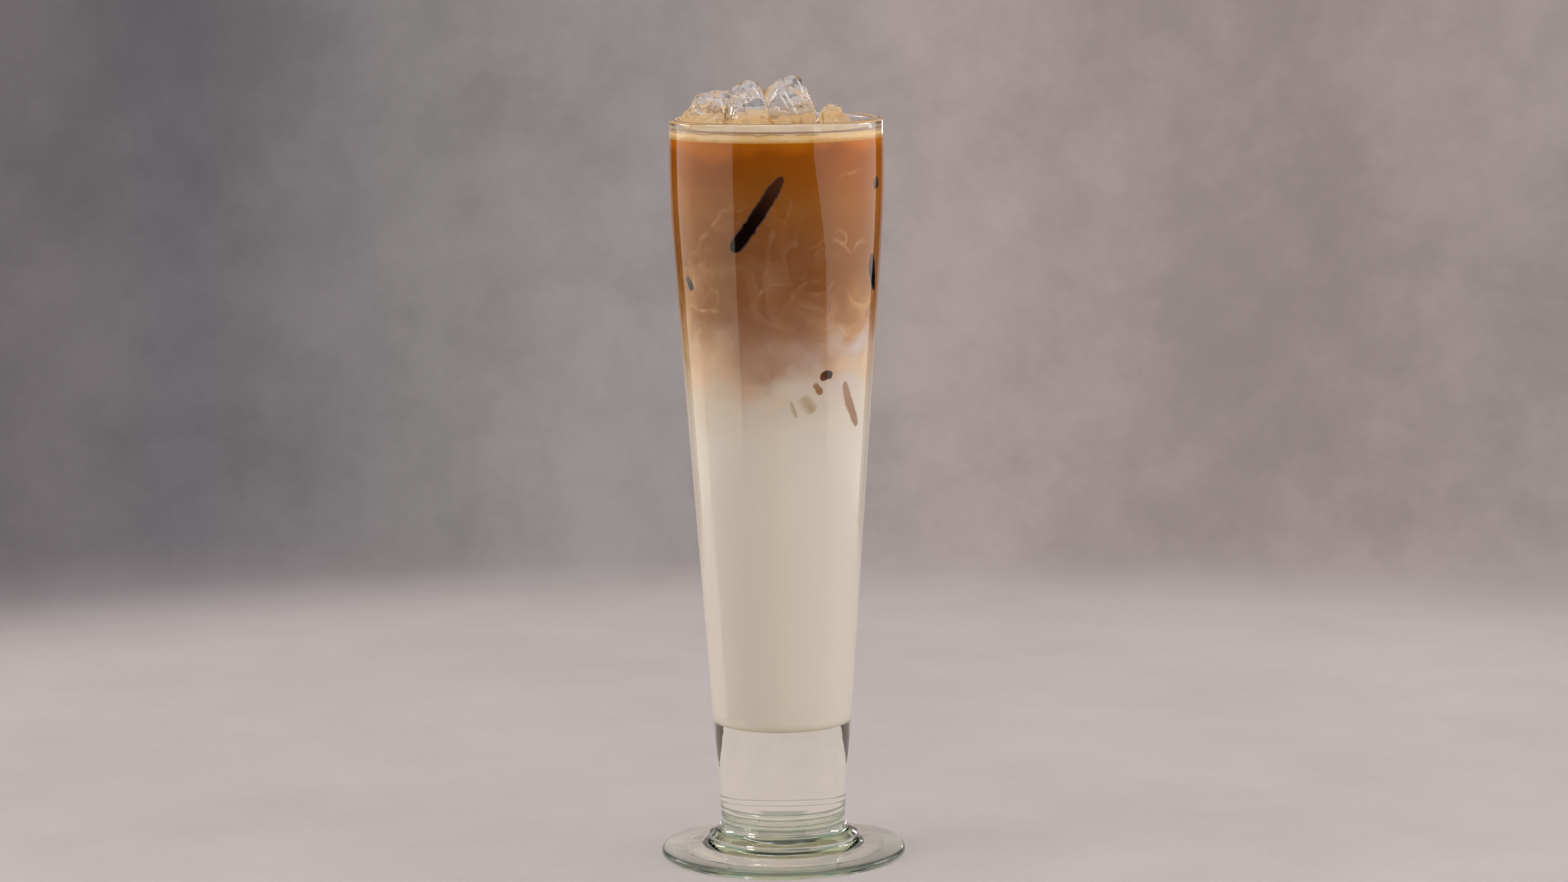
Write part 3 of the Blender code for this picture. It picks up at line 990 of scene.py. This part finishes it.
# On the foam's wall a brown line starts, is full, fades and ends at these heights, and a pale grey band of
# painted reflection starts
FOAM_LINE = (236.05 * MM, 236.4 * MM, 236.5 * MM, 236.8 * MM)
FOAM_REFLECTION_BAND = (236.3 * MM, 236.7 * MM)

# On the foam's top, coffee shows from the first radius on and is full at the second
COFFEE_RING_RADII = (29.4 * MM, 30.8 * MM)


def foam_material():
    """Fine foam with bubbles, amber near the coffee, with a brown line at the wall, a pale band of painted
    reflection at the top of that wall, and a ring on its top.
    """
    material, tree, shader, _ = new_material("foam")
    place = object_place(tree)
    height = height_at(tree, place)
    level = rescale(tree, waver(tree, height, place, 130.0, 1.2 * MM), FOAM_BASE, FOAM_BASE + 1.5 * MM)
    patches = rescale(tree, mottle(tree, place, 90.0, 4.0, 0.6), 0.35, 0.65)
    body = blend(tree, level, FOAM_AMBER, blend(tree, patches, FOAM_COLOUR, FOAM_PALE))
    cells = put(tree, "ShaderNodeTexVoronoi", {"Vector": place, "Scale": 2600.0}).outputs["Distance"]
    body = blend(tree, times(tree, rescale(tree, cells, 0.25, 0.75), 0.08), body, FOAM_AMBER)

    wavy = waver(tree, height, place, 210.0, 0.6 * MM)
    start, full, fading, end = FOAM_LINE
    gaps = rescale(tree, mottle(tree, place, 75.0, 2.0), 0.42, 0.52)
    line = times(tree, rescale(tree, wavy, start, full), rescale(tree, wavy, end, fading), gaps, 0.6)
    # Painted reflection: a pale grey band near the top of the foam's wall, for the room that the glass's rim
    # mirrors there
    body = blend(tree, rescale(tree, wavy, *FOAM_REFLECTION_BAND, 0.0, 0.62), body, FOAM_REFLECTION_GREY)
    body = blend(tree, line, body, COFFEE_RING)

    near_top = rescale(tree, height, FOAM_LEVEL - 0.5 * MM, FOAM_LEVEL - 0.2 * MM)
    ring = rescale(tree, waver(tree, axis_distance(tree, place), place, 160.0, 1.3 * MM), *COFFEE_RING_RADII)
    body = blend(tree, times(tree, ring, near_top, 0.85), body, COFFEE_RING)
    bubbles = reckon(tree, "SUBTRACT", 1.0, cells)
    feed(tree, shader, {
        "Base Color": body,
        "Roughness": reckon(tree, "MULTIPLY_ADD", near_top, -0.4, 0.65),
        "Specular IOR Level": 0.4,
        "Normal": bump(tree, bubbles, 0.12, 0.3 * MM),
    })
    return material


def clear_shadow(tree, shader, output, tint):
    """Gives a clear piece a plain tinted shadow, so that light reaches what lies inside it."""
    shadow_ray = put(tree, "ShaderNodeLightPath").outputs["Is Shadow Ray"]
    clear = put(tree, "ShaderNodeBsdfTransparent", {"Color": tint}).outputs[0]
    mixed = put(tree, "ShaderNodeMixShader", {0: shadow_ray, 1: shader.outputs[0], 2: clear})
    feed(tree, output, {"Surface": mixed.outputs[0]})


WORN_HEIGHT = 0.15 * MM
GLASS_GREEN = (0.45, 0.88, 0.32)
GLASS_GREEN_DENSITY = 4.5

# Lines of painted shade on the glass, for the dark edges its bends show: in the grooves, at the foot's edge,
# inside that, and round the collar
GROOVE_SHADE = (0.36, 0.46, 0.39)
EDGE_SHADE = (0.20, 0.26, 0.25)
EDGE_LINE_START = 38.7 * MM
EDGE_LINE_FULL = 39.4 * MM
INNER_LINE_RADIUS = 32.2 * MM
COLLAR_LINE_HEIGHT = 8.3 * MM


def glass_material():
    """Clear glass, faintly green where it is thick, with lines of painted shade, and worn dull on its rest
    ring.
    """
    material, tree, shader, output = new_material("clear_glass")
    place = object_place(tree)
    height = height_at(tree, place)
    # Painted shade: the grooves, the foot's edge, a ring inside it and the collar line are darkened in the
    # colour
    groove = 0.0
    for groove_height in GROOVE_HEIGHTS:
        line = line_at(tree, height, groove_height, 0.5 * GROOVE_HALF_WIDTH, 0.1 * GROOVE_HALF_WIDTH)
        groove = reckon(tree, "MAXIMUM", groove, line)
    colour = blend(tree, groove, WHITE, GROOVE_SHADE)

    radius = axis_distance(tree, place)
    on_top = rescale(tree, height, 1.2 * MM, 1.6 * MM)
    below_fillet = rescale(tree, height, 4.2 * MM, 3.9 * MM)
    edge_line = times(tree, rescale(tree, radius, EDGE_LINE_START, EDGE_LINE_FULL), on_top)
    inner_line = line_at(tree, radius, INNER_LINE_RADIUS, 0.9 * MM, 0.2 * MM)
    inner_line = times(tree, inner_line, below_fillet, on_top)
    collar_line = line_at(tree, height, COLLAR_LINE_HEIGHT, 0.35 * MM, 0.1 * MM)
    shade = 0.0
    for line, strength in ((edge_line, 0.75), (inner_line, 0.3), (collar_line, 0.5)):
        shade = reckon(tree, "MAXIMUM", shade, times(tree, line, strength))
    feed(tree, shader, {
        "Base Color": blend(tree, shade, colour, EDGE_SHADE),
        "Roughness": rescale(tree, height, WORN_HEIGHT, 0.2 * WORN_HEIGHT, 0.0, 0.38),
        "IOR": 1.5,
        "Transmission Weight": 1.0,
        "Normal": bump(tree, mottle(tree, place, 130.0, 2.0), 0.05, 0.5 * MM),
    })
    clear_shadow(tree, shader, output, (0.97, 0.985, 0.975))
    absorb = put(tree, "ShaderNodeVolumeAbsorption", {"Color": GLASS_GREEN, "Density": GLASS_GREEN_DENSITY})
    feed(tree, output, {"Volume": absorb.outputs[0]})
    return material


ICE_CLEAR = (0.985, 0.988, 0.99)
ICE_AMBER = (0.93, 0.76, 0.50)
ICE_STAIN = (0.40, 0.17, 0.05)
CRACK_GREY = (0.86, 0.88, 0.90)

# Heights between which the ice turns from clear to amber, once 0 to 10 mm of unevenness are added to its own
CLEAR_ABOVE = 249.0 * MM
AMBER_BELOW = 245.5 * MM

# Real ice bends light more, and then shows only the foam below it
ICE_IOR = 1.12


def ice_material():
    """Clear ice, stained amber near the drink and brown along its ridges and the edges of its hollows."""
    material, tree, shader, output = new_material("clear_ice")
    place = object_place(tree)
    uneven = reckon(tree, "MULTIPLY_ADD", mottle(tree, place, 190.0, 4.0), 10 * MM, height_at(tree, place))
    colour = blend(tree, rescale(tree, uneven, CLEAR_ABOVE, AMBER_BELOW), ICE_CLEAR, ICE_AMBER)
    wet = rescale(tree, mottle(tree, place, 120.0, 2.0), 0.42, 0.58)
    speckle = rescale(tree, mottle(tree, place, 420.0, 4.0, 0.7), 0.46, 0.58)
    hollow_stain = times(tree, written(tree, "border"), wet, speckle)
    worn = rescale(tree, mottle(tree, place, 210.0), 0.36, 0.56)
    ridge_stain = times(tree, rescale(tree, written(tree, "ridge"), 0.025, 0.12), worn)
    stain = reckon(tree, "MAXIMUM", hollow_stain, ridge_stain)
    feed(tree, shader, {
        "Base Color": blend(tree, stain, colour, ICE_STAIN),
        "Roughness": 0.0,
        "IOR": ICE_IOR,
        "Transmission Weight": 0.95,
        "Normal": bump(tree, mottle(tree, place, 330.0), 0.25, 0.8 * MM),
    })
    clear_shadow(tree, shader, output, (0.95, 0.94, 0.92))
    return material


def crack_and_highlight_material():
    """The white of a crack in ice, which also stands in for a highlight."""
    material, tree, shader, _ = new_material("ice_crack")
    grain = mottle(tree, object_place(tree), 900.0)
    feed(tree, shader, {
        "Base Color": blend(tree, grain, CRACK_GREY, WHITE),
        "Alpha": rescale(tree, grain, 0.35, 0.6, 0.2, 0.75),
        "Roughness": 0.4,
    })
    return material


# The studio

FLOOR_TONE = (0.47, 0.41, 0.40)
FLOOR_DARK = (0.44, 0.392, 0.385)
FLOOR_PALE = (0.62, 0.553, 0.547)
# Painted light for the floor where glass shows it, standing in for the glass's caustics
FLOOR_PAINTED_CAUSTIC = (1.28, 1.17, 1.15)
FLOOR_REACH = 0.62
FLOOR_FADE_START = 0.42

# The backdrop, by how far across the picture it is
WALL_ACROSS = (
    (0.0, (0.31, 0.27, 0.262)),
    (0.18, (0.16, 0.142, 0.15)),
    (0.27, (0.15, 0.135, 0.145)),
    (0.42, (0.275, 0.250, 0.245)),
    (0.57, (0.36, 0.298, 0.285)),
    (0.72, (0.32, 0.262, 0.250)),
    (1.0, (0.31, 0.27, 0.262)),
)

# What clear glass shows of the room above the backdrop
ROOM_WARM = (0.42, 0.385, 0.30)
ROOM_TEAL = (0.16, 0.27, 0.21)
ROOM_DARK = (0.04, 0.04, 0.045)
ROOM_OLIVE = (0.46, 0.43, 0.31)

# What gloss shows of the room, and what soft light gets from it
GLOSS_DARK = (0.012, 0.012, 0.013)
GLOSS_WALL = (0.33, 0.285, 0.275)
GLOSS_LOW_WALL = (0.52, 0.47, 0.45)
GLOSS_ABOVE = (0.02, 0.02, 0.02)
SOFT_LIGHT = (0.30, 0.285, 0.28)


def floor_material():
    """Pale matt floor with a faint grain. It fades out at its edge, and is painted brighter where glass shows
    it, for the light that the glass would gather onto it.
    """
    material, tree, shader, output = new_material("pale_floor")
    place = object_place(tree)
    grain = rescale(tree, mottle(tree, place, 14.0, 8.0, 0.65), 0.3, 0.7, -0.16, 0.16, smooth=False)
    fine = rescale(tree, mottle(tree, place, 700.0, 2.0), 0.3, 0.7, -0.10, 0.10, smooth=False)
    tone = reckon(tree, "ADD", reckon(tree, "ADD", grain, fine), 0.5)
    colour = blend(tree, tone, FLOOR_DARK, FLOOR_PALE)
    # Painted light: seen through the glass, the floor is brighter and warmer, standing in for the glass's
    # caustics
    through_glass = put(tree, "ShaderNodeLightPath").outputs["Is Transmission Ray"]
    tint = blend(tree, through_glass, WHITE, FLOOR_PAINTED_CAUSTIC)
    colour = blend(tree, 1.0, colour, tint, "MULTIPLY")
    feed(tree, shader, {"Base Color": colour, "Roughness": 0.85})
    distance = put(tree, "ShaderNodeVectorMath", {0: place}, operation="LENGTH").outputs["Value"]
    shown = rescale(tree, distance, FLOOR_REACH, FLOOR_FADE_START)
    clear = put(tree, "ShaderNodeBsdfTransparent").outputs[0]
    mixed = put(tree, "ShaderNodeMixShader", {0: shown, 1: clear, 2: shader.outputs[0]})
    feed(tree, output, {"Surface": mixed.outputs[0]})
    return material


def build_floor():
    shape = bmesh.new()
    bmesh.ops.create_circle(shape, cap_ends=True, segments=96, radius=FLOOR_REACH)
    floor = finish_shape("floor", shape, floor_material(), smooth=False)
    floor.location.z = -0.05 * MM


def build_world():
    """What the camera and clear glass see of the room, what gloss shows of it, and its soft light."""
    world = bpy.data.worlds.new("studio")
    bpy.context.scene.world = world
    world.use_nodes = True
    tree = world.node_tree
    direction = put(tree, "ShaderNodeTexCoord").outputs["Generated"]
    parts = put(tree, "ShaderNodeSeparateXYZ", {0: direction}).outputs
    across = parts["X"]
    rise = parts["Z"]

    wall = colour_steps(tree, rescale(tree, across, -0.3, 0.3, smooth=False), WALL_ACROSS)
    patches = rescale(tree, mottle(tree, direction, 14.0, 9.0, 0.68), 0.3, 0.7, 0.84, 1.16)
    wall = blend(tree, 1.0, wall, patches, "MULTIPLY")
    seen = blend(tree, rescale(tree, rise, -0.195, -0.155), FLOOR_TONE, wall)
    aside = reckon(tree, "ABSOLUTE", across)
    upper = blend(tree, rescale(tree, aside, 0.30, 0.45), ROOM_WARM, ROOM_TEAL)
    seen = blend(tree, rescale(tree, rise, 0.22, 0.34), seen, upper)
    seen = blend(tree, rescale(tree, rise, 0.62, 0.72), seen, ROOM_DARK)
    seen = blend(tree, rescale(tree, rise, 0.86, 0.93), seen, ROOM_OLIVE)

    flat = reckon(tree, "SQRT", reckon(tree, "SUBTRACT", 1.0, times(tree, rise, rise)))
    behind = reckon(tree, "DIVIDE", parts["Y"], reckon(tree, "MAXIMUM", flat, 0.001))
    lit_wall = rescale(tree, behind, 0.88, 0.93)
    gloss = blend(tree, lit_wall, GLOSS_DARK, GLOSS_WALL)
    low_wall = times(tree, rescale(tree, rise, 0.08, 0.16), lit_wall)
    gloss = blend(tree, low_wall, gloss, GLOSS_LOW_WALL)
    gloss = blend(tree, rescale(tree, rise, 0.5, 0.7), gloss, GLOSS_ABOVE)

    path = put(tree, "ShaderNodeLightPath").outputs
    direct = reckon(tree, "MAXIMUM", path["Is Camera Ray"], path["Is Transmission Ray"])
    colour = blend(tree, direct, gloss, seen)
    colour = blend(tree, path["Is Diffuse Ray"], colour, SOFT_LIGHT)
    feed(tree, tree.nodes["Background"], {"Color": colour})


WARM_LIGHT = (1.0, 0.95, 0.89)
AMBER_LIGHT = (1.0, 0.94, 0.82)
WHITE_LIGHT = (1.0, 0.98, 0.96)
COOL_LIGHT = (0.96, 0.99, 1.06)

# Lights by name: place, the point each faces, width and height, radiance and tint
SOFTBOXES = {
    "softbox_left": ((-0.90, 0.0, 0.20), (0, 0, 0.20), (1.68, 1.0), 1.15, AMBER_LIGHT),
    "softbox_right": ((0.90, -0.11, 0.20), (0, -0.11, 0.20), (1.91, 1.0), 1.2, WARM_LIGHT),
    "overhead": ((0.0, 0.15, 1.25), (0, 0, 0.1), (0.9, 0.9), 1.7, WHITE_LIGHT),
}
FILLS = {
    "front_fill": ((0.1, -1.9, 0.75), (0, 0, 0.15), (1.6, 1.0), 0.78, WHITE_LIGHT),
    "left_fill": ((-1.62, -0.60, 0.45), (0, 0, 0.15), (1.2, 1.2), 3.7, COOL_LIGHT),
    "right_fill": ((1.62, -0.60, 0.45), (0, 0, 0.15), (1.2, 1.2), 4.4, COOL_LIGHT),
}
GLINTS = {
    "glint_left": ((-0.86, 0.42, 0.37), (0, 0, 0.24), (0.34, 0.10), 12.0, WHITE_LIGHT),
    "glint_right": ((0.90, 0.30, 0.37), (0, 0, 0.24), (0.34, 0.10), 12.0, WHITE_LIGHT),
    "glint_overhead": ((-0.44, 0.0, 1.15), (0, 0, 0.0), (0.09, 1.1), 14.0, WARM_LIGHT),
    "glint_low": ((0.26, 0.84, 0.21), (0, 0, 0.0), (0.06, 0.05), 10.0, WARM_LIGHT),
}


def add_light(name, place, aim, size, radiance, tint):
    """A rectangular light of a given radiance, which the camera doesn't see."""
    light = bpy.data.lights.new(name, "AREA")
    light.shape = "RECTANGLE"
    light.size, light.size_y = size
    light.energy = radiance * size[0] * size[1] * math.pi
    light.color = tint
    lamp = bpy.data.objects.new(name, light)
    bpy.context.scene.collection.objects.link(lamp)
    lamp.location = place
    lamp.rotation_euler = (Vector(aim) - Vector(place)).to_track_quat("-Z", "Y").to_euler()
    lamp.visible_camera = False
    return lamp


def build_lights():
    """Softboxes that clear glass doesn't show, fills that gloss doesn't show either, and glints."""
    for lights, hidden_from in (
        (SOFTBOXES, ("visible_transmission",)),
        (FILLS, ("visible_glossy", "visible_transmission")),
        (GLINTS, ("visible_diffuse",)),
    ):
        for name, light in lights.items():
            lamp = add_light(name, *light)
            for kind in hidden_from:
                setattr(lamp, kind, False)


CARD_BROWN = (0.07, 0.045, 0.03)
SLANT_X = 0.88
SLANT_CARD = ((-1.6, 0.22), (-1.22, 0.22), (-0.45, -0.10), (-0.45, -0.6), (-1.6, -0.6))
FLOOR_CARD = ((0.275, 0.13), (0.275, 0.32), (0.47, 0.32), (0.47, 0.13))


def build_card(name, corners):
    """A dark card that stands for the unlit room. The camera, soft light and shadows miss it."""
    shape = bmesh.new()
    shape.faces.new([shape.verts.new(corner) for corner in corners])
    material, tree, shader, _ = new_material(name)
    feed(tree, shader, {"Base Color": CARD_BROWN, "Specular IOR Level": 0.0})
    card = finish_shape(name, shape, material, smooth=False)
    card.visible_camera = False
    card.visible_diffuse = False
    card.visible_shadow = False
    return card


def build_cards():
    """One card cuts the right softbox on a slant. Two on the floor behind give the stem its dark edges."""
    build_card("slant_card", [(SLANT_X, y, z) for y, z in SLANT_CARD]).visible_transmission = False
    for side, name in ((-1, "left_card"), (1, "right_card")):
        build_card(name, [(side * x, y, 0.5 * MM) for x, y in FLOOR_CARD]).visible_glossy = False


CAMERA_PLACE = (0.0015, -1.345, 0.3207)
CAMERA_LENS = 96.58
CAMERA_DOWN_DEG = 7.83
CAMERA_ROLL_DEG = -0.6


def build_camera():
    lens = bpy.data.cameras.new("camera")
    lens.lens = CAMERA_LENS
    lens.sensor_width = 36.0
    camera = bpy.data.objects.new("camera", lens)
    bpy.context.scene.collection.objects.link(camera)
    camera.location = CAMERA_PLACE
    look = Euler((math.radians(90 - CAMERA_DOWN_DEG), 0.0, 0.0)).to_matrix()
    roll = Matrix.Rotation(math.radians(CAMERA_ROLL_DEG), 3, "Z")
    camera.rotation_euler = (look @ roll).to_euler()
    bpy.context.scene.camera = camera


bpy.context.scene.view_settings.view_transform = "Standard"
build_camera()
build_world()
build_lights()
build_floor()
build_cards()

drink_group = drink_colour_group()
milk_threads = thread_points()
drink_materials = {name: drink_material(name, drink_group) for name in ("milk", "mixed_drink", "coffee")}
drink_materials["foam"] = foam_material()
build_drink(drink_materials, milk_threads)
sunk_materials = {look: sunk_ice_material(look, drink_group) for look in SUNK_LOOKS}
for sunk_name, (sunk_look, sunk_way) in SUNK_ICE.items():
    build_sunk_ice(sunk_name, sunk_way, sunk_materials[sunk_look], milk_threads)
clear_ice = ice_material()
for ice_name, ice_form in ICE.items():
    build_ice(ice_name, ice_form, clear_ice)
# White cracks that also serve as painted highlights in the ice
white_crack_and_highlight = crack_and_highlight_material()
for number, (crack_half_width, crack_way) in enumerate(ICE_CRACKS_AND_HIGHLIGHTS, 1):
    build_crack_and_highlight("ice_crack_%d" % number, crack_way, crack_half_width, white_crack_and_highlight)
build_glass(glass_material())
